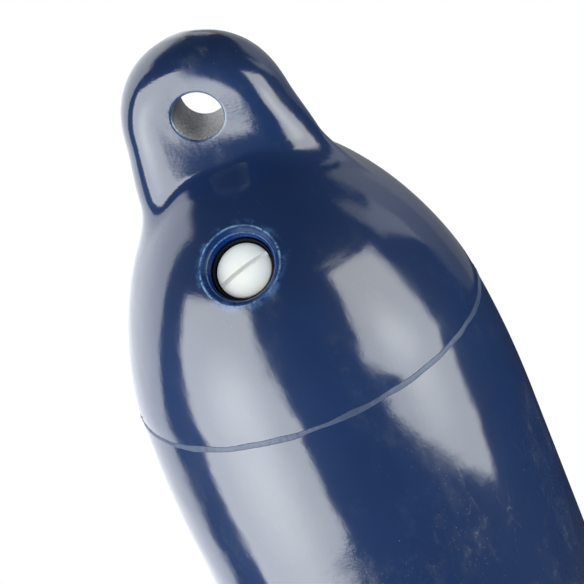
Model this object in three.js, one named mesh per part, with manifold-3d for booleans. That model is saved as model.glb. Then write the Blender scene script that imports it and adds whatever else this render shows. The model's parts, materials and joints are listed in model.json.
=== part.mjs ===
// Inflatable boat fender: a long round body with a flat rope eye at each end and a screw valve in one shoulder.
// Millimetres, +Z up. The origin is the centre of the top eye's hole. Z is the body's axis and Y the hole's axis.

import * as THREE from 'three';
import { mergeVertices } from 'three/addons/utils/BufferGeometryUtils.js';
import Module from 'manifold-3d';

const wasm = await Module();
wasm.setup();

// Body
const holeSpacing = 523;        // between the centres of the two eye holes
const seamRadius = 76;          // body radius at the mould seam
const bellyRadius = 80;         // body radius at its widest
const bellyRise = 60;           // length over which the body swells from the seam to its widest
const seamDrop = 112.3;         // from a hole's centre to the seam beside it
const seamWidth = 3;            // raised mould seam
const seamHeight = 0.5;
const seamBevel = 0.5;

// Shoulder between the seam and the eye
const domeHeight = 93;          // from the seam to where the shoulder would close
const sideDomePower = 1.42;     // curve of the shoulder beside the eye: power of the height
const sideDomeRoot = 2.04;      // and root of the radius
const frontDomePower = 3.24;    // the same for the fuller shoulder in front of the eye
const frontDomeRoot = 1.32;
const blendWidth = 8;           // fillet between the shoulder and the eye

// Rope eye
const eyeRadius = 33.5;         // round end of the eye
const eyeDrop = 5;              // the round end's centre lies this far below the hole's centre
const eyeThickness = 29.8;
const eyeFlare = 7;             // how much wider each side of the eye gets at its root
const eyeFlareLength = 36;
const eyeFlareEase = 8;         // softness of the change from the round end to the flare
const eyeFlatShare = 0.4;       // share of the eye's half-width that is flat
const eyeEdgePower = 2.7;       // curve from the flat to the edge: power of the distance
const eyeEdgeRoot = 2.5;        // and root of the thickness
const holeRadius = 9.9;
const holeEdgeRadius = 1.2;     // rounded edge of the hole

// Valve pocket, in the valve's own frame: +Y out along its axis, 0 at the pocket's floor
const valveTilt = THREE.MathUtils.degToRad(45);   // the axis rises this much from level
const valveDrop = 46.4;         // from the hole's centre down to the middle of the pocket's mouth
const pocketRadius = 12.7;
const pocketDepth = 6.4;        // from the floor to the first ledge
const ledgeRadius = 13.5;
const ledgeHeight = 1.4;
const ledgeRound = 0.2;
const lipRadius = 15.9;         // the pocket's mouth
const lipHeight = 1.7;          // height of the sloped lip
const mouthCrown = 1.8;         // how far the shoulder would bulge over the lip
const boreDepth = 10.6;

// Plug and seal
const runningGap = 0.3;         // between pieces that touch
const shankRadius = 6.6;
const shankLength = 10;         // below the pocket's floor
const shankChamfer = 0.8;
const headRadius = 10.85;
const headEdge = 1.1;           // straight edge of the head
const headChamfer = 0.4;
const headDome = 3.1;
const slotWidth = 1.3;
const slotDepth = 3.4;
const slotAngle = THREE.MathUtils.degToRad(20);
const sealBase = 1.6;           // thickness under the head
const sealWall = 0.9;           // upstanding rim round the head

// Mesh fineness
const around = 48;
const turned = 32;
const arcSteps = 4;
const tipRows = 9;
const rootRows = 11;
const shoulderRows = 5;
const bellyRows = 3;

const pvc = new THREE.MeshStandardMaterial({ name: 'pvc', color: 0x22345f, roughness: 0.22, metalness: 0 });
const nylon = new THREE.MeshStandardMaterial({ name: 'nylon', color: 0xe9ece4, roughness: 0.35, metalness: 0 });
const rubber = new THREE.MeshStandardMaterial({ name: 'rubber', color: 0x121317, roughness: 0.6, metalness: 0 });

const eyeTopZ = eyeRadius - eyeDrop;
const halfThickness = eyeThickness / 2;
const middleZ = -holeSpacing / 2;

function clamp01(value) {
  return THREE.MathUtils.clamp(value, 0, 1);
}

// Larger of two radii, with a fillet where they are nearly equal.
function blendedMax(a, b) {
  const overlap = Math.max(blendWidth - Math.abs(a - b), 0) / blendWidth;
  return Math.max(a, b) + overlap * overlap * blendWidth / 4;
}

// Half-width of the eye at a height over its round end's centre. The flare starts softly.
function eyeHalfWidth(up) {
  const depth = (Math.hypot(up, eyeFlareEase) - up) / 2;
  return eyeRadius + eyeFlare * Math.sin(clamp01(depth / eyeFlareLength) * Math.PI / 2);
}

// Half-thickness of the eye at a place on its face, and 0 outside its outline.
function eyeHalfThickness(x, z) {
  const up = z + eyeDrop;
  const share = Math.hypot(x / eyeHalfWidth(up), Math.max(up, 0) / eyeRadius);
  const edge = Math.max(share - eyeFlatShare, 0) / (1 - eyeFlatShare);
  return halfThickness * Math.max(1 - edge ** eyeEdgePower, 0) ** (1 / eyeEdgeRoot);
}

// Radius of the eye's level section in one direction, found by halving.
function eyeSectionRadius(angle, z) {
  const cos = Math.abs(Math.cos(angle));
  const sin = Math.abs(Math.sin(angle));
  let inside = 0;
  let outside = eyeRadius + eyeFlare + halfThickness;
  for (let step = 0; step < 40; step++) {
    const middle = (inside + outside) / 2;
    if (middle * sin < eyeHalfThickness(middle * cos, z)) inside = middle;
    else outside = middle;
  }
  return inside;
}

// Radius of the shoulder, fuller in front of and behind the eye than beside it.
function domeRadius(angle, z) {
  const front = Math.sin(angle) ** 4;
  const power = THREE.MathUtils.lerp(sideDomePower, frontDomePower, front);
  const root = THREE.MathUtils.lerp(sideDomeRoot, frontDomeRoot, front);
  const rise = clamp01((z + seamDrop) / domeHeight);
  return seamRadius * (1 - rise ** power) ** (1 / root);
}

// Radius of the whole top half of the body about the Z axis.
function bodyRadius(angle, z) {
  if (z > -seamDrop) {
    const eye = z < eyeTopZ ? eyeSectionRadius(angle, z) : 0;
    return blendedMax(eye, domeRadius(angle, z)) + seamRidge(z);
  }
  const swell = 1 - clamp01((-seamDrop - z) / bellyRise);
  return THREE.MathUtils.lerp(bellyRadius, seamRadius, swell * swell) + seamRidge(z);
}

// Height of the raised seam, on the rows between its two bevels.
function seamRidge(z) {
  return Math.abs(z + seamDrop) < seamWidth / 2 - seamBevel / 2 ? seamHeight : 0;
}

// Heights of the rows of vertices, from the top pole to the middle of the body.
function topHalfRows() {
  const rows = [];
  for (let i = 0; i < tipRows; i++) {
    rows.push(-eyeDrop + eyeRadius * Math.cos(i / tipRows * Math.PI / 2));
  }
  const rootEnd = (-eyeDrop - seamDrop) / 2;
  const seamTop = -seamDrop + seamWidth / 2;
  const seamEnd = seamTop - seamWidth;
  const evenly = (from, to, count) => {
    for (let i = 0; i < count; i++) rows.push(THREE.MathUtils.lerp(from, to, i / count));
  };
  evenly(-eyeDrop, rootEnd, rootRows);
  evenly(rootEnd, seamTop, shoulderRows);
  rows.push(seamTop, seamTop - seamBevel, seamEnd + seamBevel);
  evenly(seamEnd, -seamDrop - bellyRise, bellyRows);
  rows.push(-seamDrop - bellyRise);
  return rows;
}

// The body: a sphere's grid of vertices, each moved to its row's height and the body's radius there.
function bodyGeometry() {
  const top = topHalfRows();
  const rows = [...top, ...top.map((z) => -holeSpacing - z).reverse()];
  const last = rows.length - 1;
  const geometry = new THREE.SphereGeometry(1, around, last);
  const position = geometry.attributes.position;
  for (let i = 0; i < position.count; i++) {
    const row = Math.floor(i / (around + 1));
    const turn = (i % (around + 1)) % around / around * 2 * Math.PI;
    const z = rows[row];
    const mirrored = z < middleZ ? -holeSpacing - z : z;
    const crowding = 0.4 * clamp01((mirrored + seamDrop) / seamDrop);
    const angle = turn - crowding * Math.sin(2 * turn) / 2;
    const radius = row === 0 || row === last ? 0 : bodyRadius(angle, mirrored);
    position.setXYZ(i, radius * Math.cos(angle), radius * Math.sin(angle), z);
  }
  return geometry;
}

// Turned shape about its own Y axis, from [radius, height] points that start and end on the axis or close.
function turnedGeometry(points) {
  return new THREE.LatheGeometry(points.map(([r, y]) => new THREE.Vector2(r, y)), turned);
}

// Points of a quarter round from one corner to the other, both ends left out.
function quarterRound(centreR, centreY, radius, fromAngle) {
  const points = [];
  for (let i = 1; i < arcSteps; i++) {
    const angle = fromAngle - i / arcSteps * Math.PI / 2;
    points.push([centreR + radius * Math.cos(angle), centreY + radius * Math.sin(angle)]);
  }
  return points;
}

function eyeHoleCutter() {
  const face = halfThickness;
  const past = face + 5;
  const mouth = holeRadius + holeEdgeRadius;
  const wallEnd = face - holeEdgeRadius;
  const lower = quarterRound(mouth, -wallEnd, holeEdgeRadius, -Math.PI / 2);
  const upper = quarterRound(mouth, wallEnd, holeEdgeRadius, Math.PI);
  return turnedGeometry([
    [0, -past], [mouth, -past], [mouth, -face], ...lower, [holeRadius, -wallEnd],
    [holeRadius, wallEnd], ...upper, [mouth, face], [mouth, past], [0, past],
  ]);
}

function pocketCutter() {
  const lipFoot = pocketDepth + ledgeHeight;
  const lipTop = lipFoot + lipHeight;
  const boreRadius = shankRadius + runningGap;
  return turnedGeometry([
    [0, -boreDepth], [boreRadius, -boreDepth], [boreRadius, 0], [pocketRadius, 0], [pocketRadius, pocketDepth],
    [ledgeRadius, pocketDepth + ledgeRound], [ledgeRadius, lipFoot], [lipRadius, lipTop],
    [lipRadius, lipTop + lipRadius], [0, lipTop + lipRadius],
  ]);
}

function sealGeometry() {
  const bore = shankRadius + runningGap;
  const outer = pocketRadius - runningGap;
  const inner = outer - sealWall;
  const foot = runningGap;
  const seat = foot + sealBase;
  return turnedGeometry([
    [bore, foot], [outer, foot], [outer, pocketDepth], [inner, pocketDepth], [inner, seat], [bore, seat],
    [bore, foot],
  ]);
}

function plugGeometry() {
  const under = sealBase + 2 * runningGap;
  const edgeTop = under + headChamfer + headEdge;
  const domeRadius = (headRadius ** 2 + headDome ** 2) / (2 * headDome);
  const dome = [];
  for (let i = 1; i < arcSteps; i++) {
    const radius = headRadius * Math.cos(i / arcSteps * Math.PI / 2);
    dome.push([radius, edgeTop + headDome - domeRadius + Math.sqrt(domeRadius ** 2 - radius ** 2)]);
  }
  return turnedGeometry([
    [0, -shankLength], [shankRadius - shankChamfer, -shankLength], [shankRadius, -shankLength + shankChamfer],
    [shankRadius, under], [headRadius - headChamfer, under], [headRadius, under + headChamfer],
    [headRadius, edgeTop], ...dome, [0, edgeTop + headDome],
  ]);
}

function slotCutter() {
  const top = sealBase + 2 * runningGap + headChamfer + headEdge + headDome;
  const box = new THREE.BoxGeometry(3 * headRadius, 2 * slotDepth, slotWidth);
  box.translate(0, top, 0);
  return box;
}

// A closed solid for cutting, from a three.js geometry under an optional matrix.
function solid(geometry, matrix = new THREE.Matrix4()) {
  const bare = geometry.clone().applyMatrix4(matrix);
  for (const name of Object.keys(bare.attributes)) {
    if (name !== 'position') bare.deleteAttribute(name);
  }
  const merged = mergeVertices(bare, 1e-4);
  const triangles = [];
  const index = merged.index.array;
  for (let i = 0; i < index.length; i += 3) {
    const [a, b, c] = [index[i], index[i + 1], index[i + 2]];
    if (a !== b && b !== c && c !== a) triangles.push(a, b, c);
  }
  return new wasm.Manifold(new wasm.Mesh({
    numProp: 3,
    vertProperties: new Float32Array(merged.attributes.position.array),
    triVerts: new Uint32Array(triangles),
  }));
}

function geometryOf(manifold) {
  const mesh = manifold.getMesh();
  const geometry = new THREE.BufferGeometry();
  geometry.setAttribute('position', new THREE.BufferAttribute(mesh.vertProperties, 3));
  geometry.setIndex(new THREE.BufferAttribute(mesh.triVerts, 1));
  geometry.computeVertexNormals();
  return geometry;
}

function namedMesh(name, manifold, material) {
  const mesh = new THREE.Mesh(geometryOf(manifold), material);
  mesh.name = name;
  return mesh;
}

// The valve's own frame: its Y axis points out of the front shoulder, its origin is on the pocket's floor.
const valve = new THREE.Group();
const floorDepth = pocketDepth + ledgeHeight + lipHeight + mouthCrown;
const mouthFront = bodyRadius(Math.PI / 2, -valveDrop);
valve.position.set(
  0,
  -mouthFront + floorDepth * Math.cos(valveTilt),
  -valveDrop - floorDepth * Math.sin(valveTilt),
);
valve.rotation.x = Math.PI - valveTilt;
valve.updateMatrix();

function fenderBody() {
  const bottomHole = new THREE.Matrix4().makeTranslation(0, 0, -holeSpacing);
  const shape = solid(bodyGeometry())
    .subtract(solid(eyeHoleCutter()))
    .subtract(solid(eyeHoleCutter(), bottomHole))
    .subtract(solid(pocketCutter(), valve.matrix));
  return namedMesh('fender_body', shape, pvc);
}

function valvePlug() {
  const plug = namedMesh('valve_plug', solid(plugGeometry()).subtract(solid(slotCutter())), nylon);
  plug.rotation.y = slotAngle;
  return plug;
}

function plugSeal() {
  return namedMesh('plug_seal', solid(sealGeometry()), rubber);
}

const fender = new THREE.Group();
fender.name = 'boat_fender';
fender.add(fenderBody(), valve);
valve.add(plugSeal(), valvePlug());

export default fender;
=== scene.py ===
"""A glossy navy boat fender with its valve plug, hanging in a plain white studio."""

import json
import math

import bmesh
import bpy
from bpy.props import FloatProperty, FloatVectorProperty, IntProperty, PointerProperty
from mathutils import Matrix, Vector, noise


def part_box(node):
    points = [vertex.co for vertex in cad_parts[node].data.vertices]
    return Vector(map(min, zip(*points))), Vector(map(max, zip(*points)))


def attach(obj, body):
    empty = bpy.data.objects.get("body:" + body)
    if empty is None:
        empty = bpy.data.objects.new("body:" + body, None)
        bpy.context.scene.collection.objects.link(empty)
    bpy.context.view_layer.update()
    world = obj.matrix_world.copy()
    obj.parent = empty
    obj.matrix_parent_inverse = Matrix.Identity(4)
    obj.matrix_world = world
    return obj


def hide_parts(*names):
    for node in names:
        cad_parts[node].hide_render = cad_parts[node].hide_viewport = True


bl_info = {
    "name": "Boat Fender",
    "version": (1, 0, 0),
    "blender": (4, 5, 0),
    "location": "View3D > Sidebar > Fender",
    "description": "Models an inflatable boat fender and its valve around the packed frame",
    "category": "Object",
}

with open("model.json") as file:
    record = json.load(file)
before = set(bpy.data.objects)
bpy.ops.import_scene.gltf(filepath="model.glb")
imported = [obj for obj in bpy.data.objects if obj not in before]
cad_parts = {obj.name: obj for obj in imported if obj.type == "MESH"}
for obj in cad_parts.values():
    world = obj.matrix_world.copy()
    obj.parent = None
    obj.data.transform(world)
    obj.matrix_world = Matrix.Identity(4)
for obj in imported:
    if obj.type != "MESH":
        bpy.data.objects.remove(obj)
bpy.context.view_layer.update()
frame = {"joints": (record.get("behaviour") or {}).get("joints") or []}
BODY_LOW, BODY_HIGH = (Vector(corner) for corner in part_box("fender_body"))
JOINTS = {joint["name"]: joint for joint in frame["joints"]}
VALVE_AXIS = Vector(JOINTS["plug_lift"]["axis"]).normalized()
VALVE_FLOOR = Vector(JOINTS["plug_turn"]["pos_m"])
# The valve's own frame: Z out along its axis, X across the body, origin on the pocket's floor.
VALVE_FRAME = Matrix.Translation(VALVE_FLOOR) @ Matrix(
    ((1, 0, 0), (0, VALVE_AXIS.z, -VALVE_AXIS.y), (0, VALVE_AXIS.y, VALVE_AXIS.z))
).transposed().to_4x4()
# Level where the rope eye has run into the shoulder
EYE_ROOT = -0.060
# How far the cutters reach past the eye's faces, and past the valve pocket's lip
EYE_CLEARANCE = 0.004
POCKET_CLEARANCE = 0.015
# Distance of the reflection cards from the fender's axis
CARD_RADIUS = 1.25


def length(name, default, description):
    """A size in metres that the panel shows with its unit."""
    return FloatProperty(
        name=name, default=default, description=description, subtype="DISTANCE", unit="LENGTH"
    )


def share(name, default, description):
    """A plain number without a unit."""
    return FloatProperty(name=name, default=default, description=description)


def colour(name, default, description):
    """A linear colour."""
    return FloatVectorProperty(
        name=name, default=default, description=description, subtype="COLOR", size=3, min=0, max=1
    )


class FenderBodySizes(bpy.types.PropertyGroup):
    seam_radius: length("Seam radius", 0.076, "Body radius at the mould seam")
    belly_radius: length("Belly radius", BODY_HIGH.x, "Body radius at its widest")
    belly_rise: length("Belly rise", 0.060, "Length over which the body swells below the seam")
    seam_drop: length("Seam drop", 0.1123, "From an eye hole's centre to the seam beside it")
    dome_height: length("Dome height", 0.093, "From the seam to where the shoulder would close")
    side_power: share("Side power", 1.42, "Curve of the shoulder beside the eye")
    side_root: share("Side root", 2.04, "Fullness of the shoulder beside the eye")
    front_power: share("Front power", 3.24, "Curve of the shoulder in front of the eye")
    front_root: share("Front root", 1.32, "Fullness of the shoulder in front of the eye")
    blend: length("Front blend", 0.008, "Fillet between the shoulder and the eye's faces")
    side_blend: length("Side blend", 0.015, "Fillet between the shoulder and the eye's right edge")
    eye_radius: length("Eye radius", 0.0335, "Round end of the rope eye")
    eye_drop: length("Eye drop", 0.005, "The round end's centre below the hole's centre")
    eye_thickness: length("Eye thickness", 0.0298, "Thickness of the rope eye")
    eye_flare: length("Eye flare", 0.007, "Extra half-width at the eye's root")
    eye_flare_length: length("Eye flare length", 0.036, "Length over which the eye gets wider")
    flare_ease: length("Flare ease", 0.008, "Softness of the change from the round end to the flare")
    flat_share: share("Flat share", 0.472, "Share of the eye's half-width that is flat")
    edge_power: share("Edge power", 3.17, "Curve from the eye's flat to its edge")
    edge_root: share("Edge root", 1.595, "Fullness of the eye's edge")
    waist_depth: length("Waist depth", 0.0037, "How far the eye's faces dip at the hole")
    waist_reach: length("Waist reach", 0.0434, "Distance from the hole over which the faces rise again")
    waist_power: share("Waist power", 1.72, "Curve of the dip")
    waist_level: length("Waist level", -0.0098, "Lowest part of the dip, from the hole's centre")
    waist_squash: share("Waist squash", 0.482, "Height of the dip over its width")
    face_lean: share("Face lean", 0.0315, "How much the eye thickens to its right")
    face_twist: share("Face twist", 1.32, "How much the lean grows upwards, per metre")
    face_hook: share("Face hook", -76.0, "Curve of that growth, per square metre")
    face_fan: share("Face fan", 110.0, "How much the eye tapers along its sides, per square metre")
    face_curl: share("Face curl", -15.0, "How that taper changes upwards, per square metre")
    fold_lean: share("Fold lean", 0.010, "How much the face turns left beside the hole")
    fold_drop: share("Fold drop", 0.034, "How much the face turns right under the hole")
    fold_level: length("Fold level", -0.012, "Height of the change between the two")
    fold_reach: length("Fold reach", 0.005, "Half the height over which the face turns")
    fold_left: length("Fold's left end", -0.008, "Where the turning starts, from the hole's centre")
    fold_right: length("Fold's right end", 0.014, "Where the turning ends")
    fold_ease: length("Fold ease", 0.003, "Softness of both ends")
    groove_depth: length("Groove depth", 0.00012, "How far the skin sinks towards the mould seam")
    groove_reach: length("Groove reach", 0.0045, "Distance from the seam over which it sinks")
    hole_radius: length("Hole radius", 0.0099, "Radius of the rope hole")
    hole_round: length("Hole rounding", 0.0012, "Rounded edge of the rope hole")
    around: IntProperty(name="Around", default=208, description="Faces round the body")
    waviness: length("Waviness", 0.00016, "Slow unevenness of the moulded skin")


class FenderSeamSizes(bpy.types.PropertyGroup):
    width_least: length("Least width", 0.0014, "Narrowest trimmed seam")
    width_most: length("Most width", 0.0034, "Widest trimmed seam")
    height: length("Height", 0.0004, "How far the trimmed seam stands out")
    around: IntProperty(name="Around", default=1260, description="Faces round a seam")
    wander: length("Wander", 0.0004, "How far the seam strays up and down")
    raggedness: length("Raggedness", 0.0003, "How much its width changes over short distances")
    root_depth: length("Root depth", 0.0015, "How deep the band reaches into the skin")
    sliver_length: length("Sliver length", 0.00315, "Slivers of flash left beside the seam")


class FenderValveSizes(bpy.types.PropertyGroup):
    pocket_radius: length("Pocket radius", 0.0127, "Radius of the pocket's floor")
    pocket_depth: length("Pocket depth", 0.0064, "From the floor to the first ledge")
    ledge_radius: length("Ledge radius", 0.0135, "Radius of the ledge's wall")
    ledge_height: length("Ledge height", 0.0014, "Height of the ledge's wall")
    lip_radius: length("Lip radius", 0.0159, "Radius of the pocket's mouth")
    lip_height: length("Lip height", 0.0017, "Height of the sloped lip")
    bore_depth: length("Bore depth", 0.0106, "Depth of the bore under the floor")
    gap: length("Gap", 0.0003, "Clearance between pieces that touch")
    shank_radius: length("Shank radius", 0.0066, "Outer radius of the plug's thread")
    shank_length: length("Shank length", 0.010, "Length of the shank below the floor")
    thread_pitch: length("Thread pitch", 0.002, "Advance of the plug in one turn")
    thread_depth: length("Thread depth", 0.0009, "Depth of the thread")
    head_radius: length("Head radius", 0.01085, "Radius of the plug's head")
    head_edge: length("Head edge", 0.0015, "Height of the head's straight edge")
    head_dome: length("Head dome", 0.0020, "Height of the head's dome")
    slot_width: length("Slot width", 0.0019, "Width of the screwdriver slot")
    slot_depth: length("Slot depth", 0.0029, "Depth of the slot below the dome's top")
    slot_angle: FloatProperty(
        name="Slot angle",
        default=math.radians(20),
        description="Turn of the slot",
        subtype="ANGLE",
        unit="ROTATION",
    )
    seal_base: length("Seal base", 0.0016, "Thickness of the seal under the head")
    seal_drop: length("Seal drop", 0.0016, "The seal's top below the pocket's first ledge")
    seal_wall: length("Seal wall", 0.0009, "Thickness of the seal's rim round the head")


class FenderColours(bpy.types.PropertyGroup):
    pvc: colour("PVC", (0.0054, 0.0196, 0.072), "Navy skin")
    # The pocket's colour is painted light, a brighter blue where light is caught, not a colour of the PVC
    pvc_pocket_light: colour("PVC in the pocket", (0.003, 0.028, 0.15), "Brighter blue painted on the pocket's walls for caught light")
    pvc_wear_and_glint: colour("Worn and glinting PVC", (0.15, 0.29, 0.47), "Stress-whitened edges, and painted highlights on the pocket's ledge")
    pvc_dusty: colour("Dusty PVC", (0.12, 0.14, 0.17), "Dust, scuffs and the cut seam")
    nylon: colour("Nylon", (0.83, 0.865, 0.875), "White plug")
    rubber: colour("Rubber", (0.009, 0.010, 0.015), "Black seal")


class FenderStudio(bpy.types.PropertyGroup):
    left_light: share("Left light", 4.0, "Radiance of the left softbox")
    right_light: share("Right light", 3.45, "Radiance of the right softbox")
    fill_light: share("Fill light", 0.5, "World light on matt surfaces")
    floor_gap: length("Floor gap", 0.09, "Floor below the lowest point")


GROUPS = {
    "fender_body_sizes": FenderBodySizes,
    "fender_seam_sizes": FenderSeamSizes,
    "fender_valve_sizes": FenderValveSizes,
    "fender_colours": FenderColours,
    "fender_studio": FenderStudio,
}


# Shader graphs

class Wire:
    """One output socket of a node tree. Arithmetic on it adds Math nodes."""

    def __init__(self, graph, socket):
        self.graph = graph
        self.socket = socket

    def _math(self, operation, *values):
        return self.graph.node("ShaderNodeMath", {"operation": operation}, dict(enumerate(values)))

    def __add__(self, other):
        return self._math("ADD", self, other)

    def __sub__(self, other):
        return self._math("SUBTRACT", self, other)

    def __rsub__(self, other):
        return self._math("SUBTRACT", other, self)

    def __mul__(self, other):
        return self._math("MULTIPLY", self, other)

    def __abs__(self):
        return self._math("ABSOLUTE", self)

    __radd__ = __add__
    __rmul__ = __mul__

    def above(self, edge):
        """1 where the value is over the edge, else 0."""
        return self._math("GREATER_THAN", self, edge)

    def most(self, other):
        """The larger of the two values."""
        return self._math("MAXIMUM", self, other)

    def fade(self, start, end):
        """Smooth step from 0 at start to 1 at end."""
        settings = {"interpolation_type": "SMOOTHSTEP"}
        return self.graph.node("ShaderNodeMapRange", settings, {0: self, 1: start, 2: end, 3: 0.0, 4: 1.0})

    def band(self, centre, half_width):
        """1 at the centre, falling smoothly to 0 at the half-width."""
        return abs(self - centre).fade(half_width, 0.0)


class Graph:
    """The node tree of a material, a light or the world."""

    def __init__(self, tree):
        self.tree = tree
        tree.nodes.clear()

    def node(self, kind, settings=None, inputs=None, output=0):
        """Adds a node, sets it, fills or links its sockets and returns one output."""
        added = self.tree.nodes.new(kind)
        for name, value in (settings or {}).items():
            setattr(added, name, value)
        for key, value in (inputs or {}).items():
            socket = added.inputs[key]
            if isinstance(value, Wire):
                self.tree.links.new(value.socket, socket)
            else:
                socket.default_value = value
        return Wire(self, added.outputs[output])

    def place(self, scale=(1, 1, 1), offset=(0, 0, 0)):
        """Object coordinates, scaled and shifted."""
        coordinates = self.node("ShaderNodeTexCoord", output="Object")
        inputs = {"Vector": coordinates, "Scale": scale, "Location": offset}
        return self.node("ShaderNodeMapping", {}, inputs)

    def axes(self, place):
        """The three coordinates of a place."""
        parts = self.tree.nodes.new("ShaderNodeSeparateXYZ")
        self.tree.links.new(place.socket, parts.inputs[0])
        return [Wire(self, output) for output in parts.outputs]

    def noise(self, place, scale, detail=3.0, roughness=0.5):
        """Cloudy values round 0.5."""
        inputs = {"Vector": place, "Scale": scale, "Detail": detail, "Roughness": roughness}
        return self.node("ShaderNodeTexNoise", {}, inputs)

    def mix(self, factor, first, second):
        """Blend of two colours, given as wires or linear triples."""
        first, second = (c if isinstance(c, Wire) else (*c, 1.0) for c in (first, second))
        return self.node("ShaderNodeMix", {"data_type": "RGBA"}, {0: factor, 6: first, 7: second}, output=2)

    def vector(self, operation, first, second, output=0):
        """Vector Math on two places."""
        return self.node("ShaderNodeVectorMath", {"operation": operation}, {0: first, 1: second}, output)

    def bump(self, height, distance, normal=None):
        """A normal that a height in metres tilts, on top of an earlier one."""
        inputs = {"Height": height, "Distance": distance, "Strength": 1.0}
        if normal:
            inputs["Normal"] = normal
        return self.node("ShaderNodeBump", {}, inputs)

    def principled(self, skin, rough, normal, constants):
        """A Principled shader, from what changes over the surface and what is the same all over."""
        varying = {"Base Color": skin, "Roughness": rough, "Normal": normal}
        return self.node("ShaderNodeBsdfPrincipled", {}, {**varying, **constants})

    def finish(self, shader, kind="ShaderNodeOutputMaterial"):
        """Joins the last shader to the tree's output."""
        output = self.tree.nodes.new(kind)
        self.tree.links.new(shader.socket, output.inputs["Surface"])


def new_material(name):
    """An empty material and its graph."""
    material = bpy.data.materials.new(name)
    material.use_nodes = True
    return material, Graph(material.node_tree)


def specks(graph, place, spacing, size, kept):
    """Small round spots, one in some of the cells of a grid."""
    settings = {"feature": "F1"}
    inputs = {"Vector": place, "Scale": 1 / spacing}
    distance = graph.node("ShaderNodeTexVoronoi", settings, inputs, output="Distance")
    cell = graph.node("ShaderNodeTexVoronoi", settings, inputs, output="Color")
    lottery = graph.node("ShaderNodeSeparateColor", {}, {0: cell})
    return distance.fade(size / spacing, 0.4 * size / spacing) * lottery.above(1 - kept)


def scratches(graph, place, scale, width):
    """Thin wandering lines where a stretched noise crosses its middle."""
    lines = graph.noise(place, scale, detail=1.0)
    return abs(lines - 0.5).fade(width, 0.0)


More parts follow.
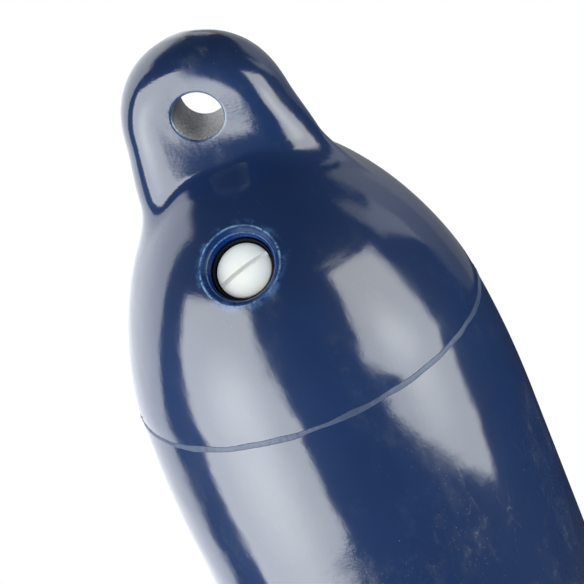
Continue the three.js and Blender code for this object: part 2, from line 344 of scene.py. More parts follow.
def pvc_material(colours, body, valve):
    """Glossy navy PVC: orange peel, brush marks, dust, scuffs, rubbed edges, a matt hole wall, and painted
    light and shade in the holes and the pocket.
    """
    material, graph = new_material("navy_pvc")
    place = graph.place()
    x, _, z = graph.axes(place)

    # Distance from the valve's axis and height over its floor
    from_floor = graph.vector("SUBTRACT", place, tuple(VALVE_FLOOR))
    height = graph.vector("DOT_PRODUCT", from_floor, tuple(VALVE_AXIS), output="Value")
    off_axis = graph.vector("CROSS_PRODUCT", from_floor, tuple(VALVE_AXIS))
    radius = graph.vector("LENGTH", off_axis, (0, 0, 0), output="Value")
    lip_foot = valve.pocket_depth + valve.ledge_height
    near_valve = height.above(-valve.bore_depth)
    in_pocket = radius.fade(valve.lip_radius + 0.0004, valve.lip_radius - 0.0004) * near_valve
    # Painted shade: the pocket's floor and the foot of its wall are painted near black where shade falls
    # deep in the recess.
    deep = height.fade(valve.pocket_depth - 0.0014, valve.pocket_depth - 0.0022) * in_pocket

    grain = graph.noise(graph.place(), 420, detail=2.0)
    wisps = graph.noise(graph.place(scale=(1.0, 1.0, 0.6)), 150, detail=6.0, roughness=0.7)
    chips = graph.noise(graph.place(), 900, detail=2.0)
    patchy = graph.noise(graph.place(), 130, detail=3.0).fade(0.36, 0.62)
    rim = radius.band(valve.lip_radius, 0.00068) * near_valve * (patchy * 0.75 + 0.25)
    # Painted highlight: a light line along the ledge's edge, where light catches it.
    ledge = radius.band(valve.ledge_radius, 0.0004) * height.band(lip_foot, 0.0007) * (patchy * 0.5 + 0.4)
    mouth = height.fade(lip_foot + 0.0004, lip_foot + 0.0012)
    # A patchy band of brighter blue just outside the mouth
    halo = radius.band(valve.lip_radius + 0.0006, 0.0030) * mouth * wisps.fade(0.44, 0.66)
    # Rim wear together with the painted ledge highlight and part of the band round the mouth
    wear_and_glint = ((rim * mouth).most(ledge) * chips.fade(0.28, 0.55)).most(halo * 0.26)

    # Rope holes: their walls are matt, and the grey on them is a painted reflection of the white
    # surroundings, stronger on the half nearer the body's middle. Their edges are rubbed pale.
    # The level is counted from the nearer hole's centre.
    half_spacing = (BODY_HIGH.z - BODY_LOW.z) / 2 - BODY_HIGH.z
    level = abs(z + half_spacing) - half_spacing
    across = graph.node("ShaderNodeCombineXYZ", {}, {0: x, 2: level})
    hole_radius = graph.vector("LENGTH", across, (0, 0, 0), output="Value")
    in_hole = hole_radius.fade(body.hole_radius + 0.0004, body.hole_radius + 0.0001)
    hole_edge = hole_radius.band(body.hole_radius + 0.0006, 0.0007) * chips.fade(0.3, 0.6)

    # Slow changes of colour, and dust that gathers lower down, round the valve and at the eye's tip
    tone = graph.noise(graph.place(), 14, detail=3.0)
    round_valve = radius.fade(0.024, valve.lip_radius) * near_valve
    at_tip = z.fade(0.008, 0.024)
    dusty = (z.fade(-0.115, -0.20) * 0.55 + 0.30).most(round_valve * 0.9).most(at_tip * 0.8)
    cloud = graph.noise(graph.place(scale=(1, 1, 0.5)), 38, detail=6.0, roughness=0.65)
    dust = cloud.fade(0.50, 0.74) * dusty
    haze = wisps.fade(0.50, 0.72) * cloud.fade(0.42, 0.62) * dusty
    spots = specks(graph, place, spacing=0.0046, size=0.00034, kept=0.08) * dusty
    beside = graph.place(offset=(0.4, 0.1, 0.2))
    fine_spots = specks(graph, beside, spacing=0.0013, size=0.00020, kept=0.34) * cloud.fade(0.44, 0.58)
    fine_spots = fine_spots * dusty
    hair = scratches(graph, graph.place(scale=(1.0, 1.0, 0.18)), 60, 0.004) * grain.fade(0.45, 0.7)
    marks = spots.most(fine_spots).most(hair * 0.35 * dusty)

    lighter = tuple(min(1.0, c * 1.25) for c in colours.pvc)
    skin = graph.mix(tone.fade(0.3, 0.7), tuple(colours.pvc), lighter)
    skin = graph.mix(dust * 0.12, skin, tuple(colours.pvc_dusty))
    skin = graph.mix(haze * 0.28, skin, tuple(colours.pvc_dusty))
    skin = graph.mix(marks * 0.8, skin, (0.12, 0.16, 0.22))
    # Painted light: the pocket's walls, the ledge's wall most of all, are painted a brighter, more saturated
    # blue where light is caught in the thin PVC.
    inner = height.fade(lip_foot + 0.0002, lip_foot - 0.0005)
    skin = graph.mix(in_pocket * (inner * 0.6 + 0.3), skin, tuple(colours.pvc_pocket_light))
    # Painted shade deep in the pocket
    skin = graph.mix(deep, skin, (0.004, 0.006, 0.018))
    skin = graph.mix(halo * 0.6, skin, (0.008, 0.05, 0.22))
    # Wear on the rim and the hole edges, and the painted highlight on the ledge
    skin = graph.mix(wear_and_glint.most(hole_edge * patchy * 0.55), skin, tuple(colours.pvc_wear_and_glint))
    # Painted reflection: grey on the hole walls stands in for the white surroundings, strongest on the half
    # nearer the body's middle.
    wall_grain = graph.noise(graph.place(), 1000, detail=4.0, roughness=0.75)
    wall = graph.mix(wall_grain.fade(0.38, 0.62), (0.12, 0.12, 0.125), (0.42, 0.42, 0.42))
    skin = graph.mix(in_hole * (level.fade(0.004, -0.003) * 0.85 + 0.15), skin, wall)

    scuffed = dust * 0.22 + marks * 0.4 + in_hole * 0.40 + in_pocket * 0.17 + wear_and_glint * 0.2 + haze * 0.16
    rough = scuffed + 0.085 + grain * 0.03

    slow = graph.noise(graph.place(), 32, detail=2.0)
    brush = graph.noise(graph.place(scale=(0.2, 0.2, 1.0)), 2000, detail=3.0)
    brushed = z.fade(-0.085, -0.03) * 0.8 + 0.2
    peel = graph.noise(graph.place(), 700, detail=2.0)
    fuzz = graph.noise(graph.place(), 300, detail=6.0, roughness=0.75) * (cloud.fade(0.42, 0.6) * 0.7 + 0.3)
    normal = graph.bump(slow, 0.0005)
    normal = graph.bump(brush * brushed, 0.00003, normal)
    normal = graph.bump(peel, 0.000012, normal)
    normal = graph.bump(fuzz, 0.00005, normal)
    normal = graph.bump(marks * -1.0, 0.00003, normal)

    coat = {"Coat Weight": 0.3, "Coat Roughness": 0.42, "Coat IOR": 1.45}
    polished = graph.principled(skin, rough, normal, {"IOR": 1.95, **coat})
    # The pocket's skin never touched the polished mould, so it shines less
    dull = graph.principled(skin, rough, normal, {"IOR": 1.3})
    shader = graph.node("ShaderNodeMixShader", {}, {0: in_pocket, 1: polished, 2: dull})
    graph.finish(shader)
    return material


def seam_material(colours):
    """The trimmed mould seam: the same PVC, cut matt and greyish."""
    material, graph = new_material("cut_pvc")
    grain = graph.noise(graph.place(), 600, detail=4.0, roughness=0.7)
    patch = graph.noise(graph.place(), 70, detail=3.0)
    nick = specks(graph, graph.place(), spacing=0.004, size=0.0006, kept=0.16)
    skin = graph.mix(patch.fade(0.3, 0.7), (0.024, 0.046, 0.110), (0.046, 0.074, 0.150))
    skin = graph.mix(grain.fade(0.62, 0.8) * 0.4, skin, tuple(colours.pvc_dusty))
    skin = graph.mix(nick, skin, (0.02, 0.03, 0.07))
    shader = graph.principled(skin, grain * 0.15 + 0.36, graph.bump(grain, 0.00012), {"IOR": 1.7})
    graph.finish(shader)
    return material


def nylon_material(colours):
    """Satin white nylon, very slightly mottled, yellower in places."""
    material, graph = new_material("white_nylon")
    mottle = graph.noise(graph.place(), 160, detail=3.0)
    grain = graph.noise(graph.place(), 1500, detail=2.0)
    warm = tuple(c * k for c, k in zip(colours.nylon, (0.98, 0.94, 0.87)))
    skin = graph.mix(mottle.fade(0.35, 0.75) * 0.5, tuple(colours.nylon), warm)
    depth = {"Subsurface Weight": 0.35, "Subsurface Radius": (1.0, 0.9, 0.7), "Subsurface Scale": 0.0015}
    normal = graph.bump(grain, 0.00002)
    shader = graph.principled(skin, mottle * 0.12 + 0.30, normal, {"IOR": 1.5, **depth})
    graph.finish(shader)
    return material


def rubber_material(colours):
    """Black rubber with a fine grain and a little dust."""
    material, graph = new_material("black_rubber")
    grain = graph.noise(graph.place(), 800, detail=4.0)
    skin = graph.mix(grain.fade(0.6, 0.8) * 0.25, tuple(colours.rubber), (0.02, 0.02, 0.024))
    normal = graph.bump(grain, 0.00005)
    shader = graph.principled(skin, grain * 0.2 + 0.6, normal, {"Specular IOR Level": 0.08})
    graph.finish(shader)
    return material


# Shapes

def finished(name, mesh_source, material, smooth_angle=35):
    """Turns a bmesh into a shaded object at the origin."""
    mesh = bpy.data.meshes.new(name)
    mesh_source.to_mesh(mesh)
    mesh_source.free()
    piece = bpy.data.objects.new(name, mesh)
    bpy.context.scene.collection.objects.link(piece)
    mesh.materials.append(material)
    shade(mesh, smooth_angle)
    return piece


def shade(mesh, smooth_angle):
    """Smooth shading, with edges sharper than the angle kept crisp."""
    mesh.shade_smooth()
    mesh.set_sharp_from_angle(angle=math.radians(smooth_angle))


def turned(points, steps=96, matrix=None):
    """A bmesh turned about Z from (radius, height) points. Its poles and its seam are closed."""
    shape = bmesh.new()
    corners = [shape.verts.new((radius, 0, height)) for radius, height in points]
    edges = [shape.edges.new(pair) for pair in zip(corners, corners[1:])]
    bmesh.ops.spin(
        shape,
        geom=corners + edges,
        cent=(0, 0, 0),
        axis=(0, 0, 1),
        angle=math.tau,
        steps=steps,
        use_merge=True,
    )
    bmesh.ops.remove_doubles(shape, verts=shape.verts, dist=1e-6)
    bmesh.ops.recalc_face_normals(shape, faces=shape.faces)
    if matrix:
        bmesh.ops.transform(shape, matrix=matrix, verts=shape.verts)
    return shape


def arc(centre, radius, start, end, steps=8):
    """Points of an arc in the (radius, height) plane, angles in degrees."""
    points = []
    for i in range(steps + 1):
        angle = math.radians(start + (end - start) * i / steps)
        points.append((centre[0] + radius * math.cos(angle), centre[1] + radius * math.sin(angle)))
    return points


def stops(start, end, count):
    """Evenly spaced values from start, without the end."""
    return [start + (end - start) * i / count for i in range(count)]


def subtract(piece, cutter_shape):
    """Cuts one bmesh out of a piece, with an exact boolean that is applied."""
    cutter_mesh = bpy.data.meshes.new("cutter")
    cutter_shape.to_mesh(cutter_mesh)
    cutter_shape.free()
    cutter = bpy.data.objects.new("cutter", cutter_mesh)
    bpy.context.scene.collection.objects.link(cutter)
    cut = piece.modifiers.new("cut", "BOOLEAN")
    cut.operation = "DIFFERENCE"
    cut.solver = "EXACT"
    cut.object = cutter
    graph = bpy.context.evaluated_depsgraph_get()
    mesh = bpy.data.meshes.new_from_object(piece.evaluated_get(graph))
    piece.modifiers.clear()
    old = piece.data
    piece.data = mesh
    mesh.name = piece.name
    bpy.data.meshes.remove(old)
    bpy.data.objects.remove(cutter)
    bpy.data.meshes.remove(cutter_mesh)


class BodyShape:
    """The fender's outer surface: a radius about Z for each direction and height."""

    def __init__(self, sizes):
        self.s = sizes
        self.top = BODY_HIGH.z
        self.hole_spacing = (BODY_HIGH.z - BODY_LOW.z) - 2 * self.top

    def half_width(self, up):
        """Half-width of the eye, at a height over the round end's centre. The flare starts softly."""
        depth = (math.hypot(up, self.s.flare_ease) - up) / 2
        rise = min(depth / self.s.eye_flare_length, 1)
        return self.s.eye_radius + self.s.eye_flare * math.sin(rise * math.pi / 2)

    def soft_ramp(self, past):
        """0 before its start, then the distance past it, rounded at the start."""
        ease = self.s.fold_ease
        return ease * math.log1p(math.exp(past / ease))

    def half_thickness(self, x, z):
        """From the eye's middle plane to its face, at a place across and up."""
        s = self.s
        up = z + s.eye_drop
        reach = math.hypot(x / self.half_width(up), max(up, 0) / s.eye_radius)
        edge = max(reach - s.flat_share, 0) / (1 - s.flat_share)
        away = math.hypot(x, (z - s.waist_level) / s.waist_squash)
        rise = 1 - math.exp(-((away / s.waist_reach) ** s.waist_power))
        face = s.eye_thickness / 2 + s.waist_depth * rise
        face += (s.face_lean + s.face_twist * z + s.face_hook * z * z) * x
        face += (s.face_fan * x * x + s.face_curl * z * z) * z
        across = self.soft_ramp(x - s.fold_left) - self.soft_ramp(x - s.fold_right)
        over = (1 + math.tanh((z - s.fold_level) / s.fold_reach)) / 2
        face += (s.fold_lean * over - s.fold_drop * (1 - over)) * across
        return face * max(1 - edge**s.edge_power, 0) ** (1 / s.edge_root)

    def eye(self, angle, z):
        """Radius of the eye's level section, found by halving."""
        cos, sin = math.cos(angle), abs(math.sin(angle))
        inside, outside = 0.0, 2 * self.s.eye_radius
        for _ in range(24):
            middle = (inside + outside) / 2
            if middle * sin < self.half_thickness(middle * cos, z):
                inside = middle
            else:
                outside = middle
        return inside

    def dome(self, angle, z):
        """Radius of the shoulder, fuller in front of the eye than beside it."""
        s = self.s
        front = math.sin(angle) ** 4
        power = s.side_power + (s.front_power - s.side_power) * front
        root = s.side_root + (s.front_root - s.side_root) * front
        rise = min(max((z + s.seam_drop) / s.dome_height, 0), 1)
        return s.seam_radius * (1 - rise**power) ** (1 / root)

    def radius(self, angle, z):
        """Radius at a height, in the top half or, mirrored, in the bottom one."""
        s = self.s
        if z < -self.hole_spacing / 2:
            z = -self.hole_spacing - z
        groove = s.groove_depth * math.exp(-(((z + s.seam_drop) / s.groove_reach) ** 2))
        return self.smooth_radius(angle, z) - groove

    def smooth_radius(self, angle, z):
        """Radius in the top half, without the groove along the seam."""
        s = self.s
        if z > -s.seam_drop:
            eye = self.eye(angle, z) if -s.seam_drop / 1.5 < z < self.top else 0.0
            dome = self.dome(angle, z)
            blend = s.blend + (s.side_blend - s.blend) * max(math.cos(angle), 0) ** 2
            overlap = max(blend - abs(eye - dome), 0) / blend
            return max(eye, dome) + overlap * overlap * blend / 4
        swell = 1 - min(max((-s.seam_drop - z) / s.belly_rise, 0), 1)
        return s.belly_radius + (s.seam_radius - s.belly_radius) * swell * swell

    def rows(self):
        """Heights of the rings of vertices from pole to pole."""
        s = self.s
        tip, root, shoulder, groove, belly, barrel = 26, 56, 30, 20, 18, 16
        centre = -s.eye_drop
        over_groove, under_groove = -s.seam_drop + 0.01, -s.seam_drop - 0.01
        belly_end = -s.seam_drop - s.belly_rise
        top = [centre + s.eye_radius * math.cos(turn) for turn in stops(0, math.pi / 2, tip)]
        top += stops(centre, EYE_ROOT, root) + stops(EYE_ROOT, over_groove, shoulder)
        top += stops(over_groove, under_groove, groove) + stops(under_groove, belly_end, belly)
        bottom = [-self.hole_spacing - z for z in reversed(top)]
        return top + stops(belly_end, bottom[0], barrel) + bottom

    def unevenness(self, point):
        """Slow unevenness that the moulding leaves in the skin."""
        waves_per_metre = 14.0
        return noise.noise(point * waves_per_metre) * self.s.waviness


class FENDER_OT_body(bpy.types.Operator):
    """Model the moulded body with its eyes, holes and valve pocket"""

    bl_idname = "fender.body"
    bl_label = "Fender body"

    def execute(self, context):
        sizes = context.scene.fender_body_sizes
        valve = context.scene.fender_valve_sizes
        material = pvc_material(context.scene.fender_colours, sizes, valve)
        surface = BodyShape(sizes)
        rows = surface.rows()
        last = len(rows) - 1
        shape = bmesh.new()
        bmesh.ops.create_uvsphere(shape, u_segments=sizes.around, v_segments=last, radius=1)
        for vertex in shape.verts:
            row = round(math.acos(max(-1, min(1, vertex.co.z))) / math.pi * last)
            z = rows[row]
            if row in (0, last):
                vertex.co = (0, 0, z)
                continue
            turn = math.atan2(vertex.co.y, vertex.co.x)
            level = z if z > -surface.hole_spacing / 2 else -surface.hole_spacing - z
            # The columns of faces gather towards the eye's edges, where the skin curves most
            crowding = 0.4 * min(max((level + sizes.seam_drop) / sizes.seam_drop, 0), 1)
            angle = turn - crowding * math.sin(2 * turn) / 2
            radius = surface.radius(angle, z)
            point = Vector((radius * math.cos(angle), radius * math.sin(angle), z))
            if level < EYE_ROOT:
                point += Vector((point.x, point.y, 0)).normalized() * surface.unevenness(point)
            vertex.co = point
        body = finished("fender_skin", shape, material)
        for middle, side in ((0, 1), (-surface.hole_spacing, -1)):
            subtract(body, self.hole_cutter(surface, middle, side))
        subtract(body, self.pocket_cutter(valve))
        shade(body.data, 35)
        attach(body, "fender")
        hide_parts("fender_body")
        return {"FINISHED"}

    def hole_cutter(self, surface, middle, side):
        """A spool along Y whose flared ends follow the eye's faces and round the hole's edges."""
        sizes = surface.s
        face = sizes.eye_thickness / 2
        mouth = sizes.hole_radius + sizes.hole_round
        wall = face - sizes.hole_round
        past = face + EYE_CLEARANCE
        points = [(0, -past), (mouth, -past), (mouth, -face)]
        points += arc((mouth, -wall), sizes.hole_round, 270, 180)[1:]
        points += arc((mouth, wall), sizes.hole_round, 180, 90)
        points += [(mouth, past), (0, past)]
        spool = turned(points, 96, Matrix.Rotation(math.pi / 2, 4, "X"))
        for vertex in spool.verts:
            rise = surface.half_thickness(vertex.co.x, vertex.co.z * side) - face
            if abs(vertex.co.y) > wall / 2:
                vertex.co.y += math.copysign(rise, vertex.co.y)
        bmesh.ops.translate(spool, vec=(0, 0, middle), verts=spool.verts)
        return spool

    def pocket_cutter(self, valve):
        """The stepped pocket and its bore, open well past the shoulder."""
        lip_foot = valve.pocket_depth + valve.ledge_height
        lip_top = lip_foot + valve.lip_height
        bore = valve.shank_radius + valve.gap
        soft = 0.0002
        points = [(0, -valve.bore_depth), (bore, -valve.bore_depth), (bore, 0), (valve.pocket_radius, 0)]
        points += [(valve.pocket_radius, valve.pocket_depth - soft)]
        points += [(valve.pocket_radius + soft, valve.pocket_depth)]
        points += [(valve.ledge_radius - soft, valve.pocket_depth)]
        points += [(valve.ledge_radius, valve.pocket_depth + soft), (valve.ledge_radius, lip_foot)]
        # The lip slopes out in a shallow hollow and turns over at the mouth
        slope = Vector((valve.lip_radius - valve.ledge_radius, valve.lip_height))
        lip = ((0.06, -0.0001), (0.25, -0.0003), (0.5, -0.00035), (0.75, -0.0002), (0.94, 0.0001))
        for along, bulge in lip:
            radius = valve.ledge_radius + slope.x * along + bulge * 0.5
            points += [(radius, lip_foot + slope.y * along - bulge)]
        above = lip_top + POCKET_CLEARANCE
        points += [(valve.lip_radius, lip_top + 0.0003), (valve.lip_radius, above), (0, above)]
        return turned(points, 128, VALVE_FRAME)


class FENDER_OT_seams(bpy.types.Operator):
    """Model the two trimmed mould seams and the slivers of flash"""

    bl_idname = "fender.seams"
    bl_label = "Mould seams"

    def execute(self, context):
        material = seam_material(context.scene.fender_colours)
        surface = BodyShape(context.scene.fender_body_sizes)
        sizes = context.scene.fender_seam_sizes
        top = -surface.s.seam_drop
        bottom = -surface.hole_spacing - top
        for name, z, seed in (("mould_seam_top", top, 3.0), ("mould_seam_bottom", bottom, 40.0)):
            self.seam(name, z, seed, surface, sizes, material)
        slivers = (("flash_curl", -62, 0.0022, 150), ("flash_tick", -161, -0.0012, -12))
        for name, angle, drop, lean in slivers:
            self.flash(name, math.radians(angle), top - drop, math.radians(lean), surface, sizes, material)
        return {"FINISHED"}

    def flash(self, name, angle, z, lean, surface, sizes, material):
        """A bent, tapered sliver that the knife left beside the seam."""
        size = sizes.sliver_length
        outline = ((0, 0), (0.05, 0.2), (0.06, 0.5), (0.03, 0.85), (0, 1))
        shape = turned([(radius * size, height * size) for radius, height in outline], 12)
        for vertex in shape.verts:
            vertex.co.y += 0.5 * vertex.co.z**2 / size
        out = Vector((math.cos(angle), math.sin(angle), 0))
        foot = out * (surface.radius(angle, z) - 0.0001) + Vector((0, 0, z))
        turn = Matrix((out, Vector((0, 0, 1)).cross(out), (0, 0, 1))).transposed().to_4x4()
        stance = Matrix.Rotation(lean, 4, "X") @ Matrix.Rotation(math.radians(8), 4, "Y")
        bmesh.ops.transform(shape, matrix=Matrix.Translation(foot) @ turn @ stance, verts=shape.verts)
        piece = finished(name, shape, material, 50)
        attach(piece, "fender")

    def seam(self, name, z, seed, surface, sizes, material):
        """A band whose edges, width and height wander as a knife left them."""
        # A band 1 mm high and 2 mm wide, as shares of a millimetre, which is then fitted to the skin
        points = [(-1.0, -1.0), (0.0, -1.0), (0.35, -0.98), (0.75, -0.85), (1.0, -0.6), (1.0, 0.0)]
        points += [(1.0, 0.6), (0.75, 0.85), (0.35, 0.98), (0.0, 1.0), (-1.0, 1.0)]
        unit = 0.001
        base = surface.s.seam_radius - 0.0006
        shape = turned([(base + out * unit, up * unit) for out, up in points], sizes.around)
        sunk = 0.00012
        for vertex in shape.verts:
            angle = math.atan2(vertex.co.y, vertex.co.x)
            radial = Vector((math.cos(angle), math.sin(angle), 0))
            out = math.hypot(vertex.co.x, vertex.co.y) - base
            up = vertex.co.z / unit
            at = radial * 5 + Vector((seed, 0, 0))
            slow = noise.noise(at * 1.1) * 0.5 + 0.5
            quick = noise.noise(at * 4 + Vector((0, 0, up * 0.7))) * 0.5
            width = sizes.width_least + (sizes.width_most - sizes.width_least) * min(max(slow, 0), 1)
            width += quick * sizes.raggedness
            centre = noise.noise(at * 1.6 + Vector((0, 7, 0))) * sizes.wander
            height = sizes.height * (0.8 + 0.35 * noise.noise(at * 8 + Vector((0, 0, up))))
            level = z + centre + up * width / 2
            skin = surface.radius(angle, level)
            if out < 0:
                radius = skin - sizes.root_depth
            else:
                radius = skin - sunk + out / unit * (height + sunk)
            vertex.co = (radius * radial.x, radius * radial.y, level)
        piece = finished(name, shape, material, 50)
        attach(piece, "fender")


class FENDER_OT_valve(bpy.types.Operator):
    """Model the slotted plug with its thread, and the rubber seal"""

    bl_idname = "fender.valve"
    bl_label = "Valve plug and seal"

    def execute(self, context):
        valve = context.scene.fender_valve_sizes
        colours = context.scene.fender_colours
        self.plug(valve, nylon_material(colours))
        self.seal(valve, rubber_material(colours))
        return {"FINISHED"}

    def plug(self, valve, material):
        """A domed head with a straight, rounded edge on a shank, with its slot cut and its thread added."""
        under = valve.seal_base + 2 * valve.gap
        edge_top = under + valve.head_edge
        top = edge_top + valve.head_dome
        core = valve.shank_radius - valve.thread_depth
        ball = (valve.head_radius**2 + valve.head_dome**2) / (2 * valve.head_dome)
        head_bevel, shank_bevel, head_round = 0.0004, 0.0006, 0.0005
        half = math.asin((valve.head_radius - head_bevel) / ball)
        points = [(0, -valve.shank_length), (core - shank_bevel, -valve.shank_length)]
        points += [(core, -valve.shank_length + shank_bevel), (core, under)]
        points += [(valve.head_radius - head_bevel, under), (valve.head_radius, under + head_bevel)]
        points += arc((valve.head_radius - head_round, edge_top - head_round), head_round, 0, 60, 4)
        for turn in reversed(stops(0, half, 12)):
            points += [(ball * math.sin(turn), top - ball + ball * math.cos(turn))]
        turn = VALVE_FRAME @ Matrix.Rotation(valve.slot_angle, 4, "Z")
        plug = finished("plug_body", turned(points, 96, turn), material)
        subtract(plug, self.slot_cutter(valve, top, turn))
        thread = self.thread(valve, core, under)
        shape = bmesh.new()
        shape.from_mesh(plug.data)
        bmesh.ops.recalc_face_normals(shape, faces=shape.faces)
        shape.to_mesh(plug.data)
        shape.free()
        shade(plug.data, 30)
        screw = finished("plug_thread", thread, material)
        for piece in (plug, screw):
            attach(piece, "plug")
        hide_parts("valve_plug")

    def slot_cutter(self, valve, top, turn):
        """A bar across the head with rounded lower edges."""
        shape = bmesh.new()
        bmesh.ops.create_cube(shape, size=1)
        size = (3 * valve.head_radius, valve.slot_width, 2 * valve.slot_depth)
        bmesh.ops.scale(shape, vec=size, verts=shape.verts)
        low = [e for e in shape.edges if all(v.co.z < 0 for v in e.verts)]
        low = [e for e in low if abs(e.verts[0].co.x - e.verts[1].co.x) > valve.head_radius]
        bmesh.ops.bevel(shape, geom=low, offset=0.0004, segments=3, profile=0.5, affect="EDGES", material=-1)
        bmesh.ops.transform(shape, matrix=turn @ Matrix.Translation((0, 0, top)), verts=shape.verts)
        return shape

    def thread(self, valve, core, under):
        """A helical ridge round the shank, spun with an advance along the axis."""
        shape = bmesh.new()
        crest = valve.shank_radius - 0.00005
        half = valve.thread_pitch * 0.36
        start = -valve.shank_length + valve.thread_pitch * 0.5
        turns = (under - start) / valve.thread_pitch - 0.6
        flank = core - 0.0003
        section = [(flank, -half), (crest, -half * 0.25), (crest, half * 0.25), (flank, half)]
        corners = [shape.verts.new((r, 0, start + h)) for r, h in section]
        ring = corners + [corners[0]]
        edges = [shape.edges.new(pair) for pair in zip(ring, ring[1:])]
        steps_per_turn = 40
        steps = round(turns * steps_per_turn)
        spun = bmesh.ops.spin(
            shape,
            geom=corners + edges,
            cent=(0, 0, 0),
            axis=(0, 0, 1),
            dvec=(0, 0, turns * valve.thread_pitch / steps),
            angle=math.tau * turns,
            steps=steps,
            use_merge=False,
        )
        last = [g for g in spun["geom_last"] if isinstance(g, bmesh.types.BMVert)]
        bmesh.ops.contextual_create(shape, geom=corners)
        bmesh.ops.contextual_create(shape, geom=last)
        bmesh.ops.recalc_face_normals(shape, faces=shape.faces)
        bmesh.ops.transform(shape, matrix=VALVE_FRAME, verts=shape.verts)
        return shape

    def seal(self, valve, material):
        """A washer under the head with a round-topped rim that stands up round it."""
        bore = valve.shank_radius + valve.gap
        outer = valve.pocket_radius - valve.gap
        inner = outer - valve.seal_wall
        foot = valve.gap
        seat = foot + valve.seal_base
        top = valve.pocket_depth - valve.seal_drop
        lip = valve.seal_wall / 2
        points = [(bore, foot), (outer, foot), (outer, top - lip)]
        points += arc((outer - lip, top - lip), lip, 0, 180)[1:]
        points += [(inner, seat + 0.0003), (inner - 0.0003, seat), (bore, seat), (bore, foot)]
        piece = finished("seal_ring", turned(points, 96, VALVE_FRAME), material)
        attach(piece, "seal")
        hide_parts("plug_seal")


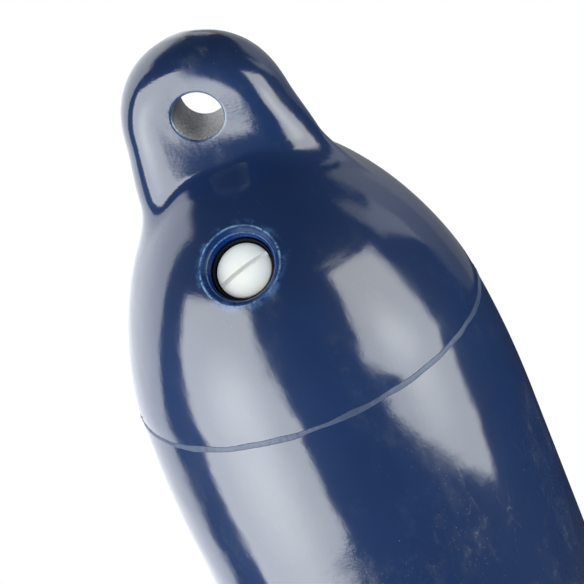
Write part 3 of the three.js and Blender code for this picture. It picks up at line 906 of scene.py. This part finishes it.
class FENDER_OT_stage(bpy.types.Operator):
    """Set the camera, the softboxes, the white surroundings and the floor"""

    bl_idname = "fender.stage"
    bl_label = "Studio"

    def execute(self, context):
        studio = context.scene.fender_studio
        self.camera(context.scene)
        across, up = (-0.6345, 0.7672, -0.0942), (-0.0613, 0.0715, 0.9956)
        centre = (-0.6985, -0.7062, -0.1060)
        self.softbox("softbox_left", studio.left_light, centre, across, up, 1.232, 1.566)
        across, up = (-0.1728, -0.9156, 0.3632), (0.2851, 0.3065, 0.9082)
        centre = (0.341, -0.1433, -0.0803)
        self.softbox("softbox_right", studio.right_light, centre, across, up, 0.302, 0.420)
        self.world(context.scene, studio)
        self.floor(studio)
        # Behind and left, for the body's left edge, then behind and above, for the eye's crown
        self.card("rear_card", ((-104, -1.1, 1.8), (-177, -1.1, 1.8)), 1.55, (1.8, 1.3), 0.15)
        crown = ((165, 0.62, 0.9), (172, 0.62, 1.2), (183, 0.62, 1.45))
        self.card("crown_card", crown, 1.2, (1.5, 1.1), 0.3)
        # Behind and right, for the grey bands on the right shoulder
        near = ((114.5, 0.18, 0.42), (118, 0.13, 0.68), (121.5, 0.06, 0.50), (123, 0.02, 0.28))
        near += ((128, -0.10, 0.28),)
        self.card("near_card", near, 0.72, (0.7, 0.2), 0.6)
        side = ((128, -0.34, 0.28), (131, -0.42, 0.52), (136, -0.50, 0.60), (146, -0.56, 0.60))
        self.card("side_card", side, 0.46, (-0.45, 0.3), 0.28)
        self.card("far_card", ((146, -0.56, 0.60), (183, -0.62, 0.60)), 0.46, (-0.45, 0.1), 0.5)
        context.scene.view_settings.view_transform = "Standard"
        return {"FINISHED"}

    def camera(self, scene):
        """The photograph's viewpoint: from the front, a little right of and above the eye, rolled."""
        data = bpy.data.cameras.new("camera")
        photo_width = 584
        focal_pixels = 1700
        data.sensor_width = 36
        data.lens = data.sensor_width * focal_pixels / photo_width
        data.clip_start = 0.05
        camera = bpy.data.objects.new("camera", data)
        scene.collection.objects.link(camera)
        right = Vector((0.92746, 0.03449, -0.37233))
        up = Vector((0.31921, 0.44555, 0.83641))
        back = right.cross(up)
        turn = Matrix((right, up, back)).transposed().to_4x4()
        camera.matrix_world = Matrix.Translation((0.13882, -0.62697, 0.19218)) @ turn
        scene.camera = camera

    def softbox(self, name, radiance, centre, across, up, width, height):
        """A rectangular softbox whose lit side faces along across times up. Its light is
        strongest below its middle and falls off towards its edges."""
        data = bpy.data.lights.new(name, "AREA")
        data.shape = "RECTANGLE"
        data.size = width
        data.size_y = height
        data.energy = radiance * math.pi * width * height
        data.use_nodes = True
        graph = Graph(data.node_tree)
        spot = graph.node("ShaderNodeNewGeometry", output="Parametric")
        off_centre = graph.vector("DISTANCE", spot, (0.5, 0.70, 0.0), output="Value")
        tint, strongest, weakest = Vector((0.99, 1.01, 0.975)), 1.18, 0.82
        glow = graph.mix(off_centre.fade(0.0, 0.40), tuple(tint), tuple(tint * weakest / strongest))
        shader = graph.node("ShaderNodeEmission", {}, {"Color": glow, "Strength": strongest})
        graph.finish(shader, "ShaderNodeOutputLight")
        lamp = bpy.data.objects.new(name, data)
        bpy.context.scene.collection.objects.link(lamp)
        across = Vector(across).normalized()
        facing = across.cross(Vector(up)).normalized()
        turn = Matrix((across, across.cross(facing), -facing)).transposed().to_4x4()
        lamp.matrix_world = Matrix.Translation(centre) @ turn
        lamp.visible_camera = False

    def world(self, scene, studio):
        """White behind everything the camera sees, dark in reflections, soft fill on matt surfaces."""
        world = bpy.data.worlds.new("studio")
        scene.world = world
        world.use_nodes = True
        graph = Graph(world.node_tree)
        path = graph.tree.nodes.new("ShaderNodeLightPath")
        camera = Wire(graph, path.outputs["Is Camera Ray"])
        glossy = Wire(graph, path.outputs["Is Glossy Ray"])
        through = Wire(graph, path.outputs["Is Transmission Ray"])
        fill = studio.fill_light
        tint = graph.mix(glossy, (fill, fill, fill), (0.020, 0.024, 0.040))
        tint = graph.mix(camera.most(through), tint, (1, 1, 1))
        shader = graph.node("ShaderNodeBackground", {}, {"Color": tint, "Strength": 1.0})
        graph.finish(shader, "ShaderNodeOutputWorld")

    def floor(self, studio):
        """A pale floor that keeps the shadow near the object and melts into white further out."""
        shape = bmesh.new()
        bmesh.ops.create_circle(shape, cap_ends=True, segments=96, radius=0.56)
        level = BODY_LOW.z - studio.floor_gap
        bmesh.ops.translate(shape, vec=(0, 0, level), verts=shape.verts)
        material, graph = new_material("floor")
        place = graph.place(scale=(1, 1, 0))
        radius = graph.vector("LENGTH", place, (0, 0, 0), output="Value")
        path = graph.tree.nodes.new("ShaderNodeLightPath")
        glossy = Wire(graph, path.outputs["Is Glossy Ray"])
        matt = graph.node("ShaderNodeBsdfDiffuse", {}, {"Color": (0.9, 0.9, 0.9, 1)})
        white = graph.node("ShaderNodeEmission", {}, {"Color": (1, 1, 1, 1), "Strength": 1.0})
        blend = radius.fade(0.16, 0.52) * 0.35 + 0.65
        seen = graph.node("ShaderNodeMixShader", {}, {0: blend, 1: matt, 2: white})
        shader = graph.node("ShaderNodeMixShader", {}, {0: glossy, 1: seen, 2: matt})
        graph.finish(shader)
        finished("floor", shape, material)

    def card(self, name, stations, strength, levels, least):
        """An upright curved card that only reflections see, through (angle, low, high) stations.
        Its light falls to the least share at the first of the two levels. Angles turn from -Y to +X."""
        shape = bmesh.new()
        pairs = []
        degrees_per_face = 3
        for (start, *first), (end, *last) in zip(stations, stations[1:]):
            steps = max(round(abs(end - start) / degrees_per_face), 1)
            for i in range(steps + (end == stations[-1][0])):
                angle = math.radians(start + (end - start) * i / steps - 90)
                heights = (a + (b - a) * i / steps for a, b in zip(first, last))
                flat = (CARD_RADIUS * math.cos(angle), CARD_RADIUS * math.sin(angle))
                pairs.append([shape.verts.new((*flat, height)) for height in heights])
        for (low, high), (next_low, next_high) in zip(pairs, pairs[1:]):
            bmesh.ops.contextual_create(shape, geom=[low, next_low, next_high, high])
        material, graph = new_material(name)
        height = graph.axes(graph.place())[2]
        tint = Vector((0.93, 0.96, 1.0))
        light = graph.mix(height.fade(*levels), tuple(tint * least), tuple(tint))
        shader = graph.node("ShaderNodeEmission", {}, {"Color": light, "Strength": strength})
        graph.finish(shader)
        card = finished(name, shape, material)
        card.visible_camera = False
        card.visible_diffuse = False
        card.visible_shadow = False
        card.visible_transmission = False


class FENDER_PT_panel(bpy.types.Panel):
    """Lists the fender's operators and sizes"""

    bl_label = "Boat fender"
    bl_idname = "FENDER_PT_panel"
    bl_space_type = "VIEW_3D"
    bl_region_type = "UI"
    bl_category = "Fender"

    def draw(self, context):
        for operator in OPERATORS:
            self.layout.operator(operator.bl_idname)
        for attribute, group in GROUPS.items():
            box = self.layout.box()
            box.label(text=group.__name__)
            for name in group.__annotations__:
                box.prop(getattr(context.scene, attribute), name)


OPERATORS = (FENDER_OT_body, FENDER_OT_seams, FENDER_OT_valve, FENDER_OT_stage)
CLASSES = (*GROUPS.values(), *OPERATORS, FENDER_PT_panel)


def register():
    for cls in CLASSES:
        bpy.utils.register_class(cls)
    for attribute, group in GROUPS.items():
        setattr(bpy.types.Scene, attribute, PointerProperty(type=group))


def unregister():
    for attribute in GROUPS:
        delattr(bpy.types.Scene, attribute)
    for cls in reversed(CLASSES):
        bpy.utils.unregister_class(cls)


def main():
    register()
    bpy.ops.fender.stage()
    bpy.ops.fender.body()
    bpy.ops.fender.seams()
    bpy.ops.fender.valve()


if __name__ == "__main__":
    main()
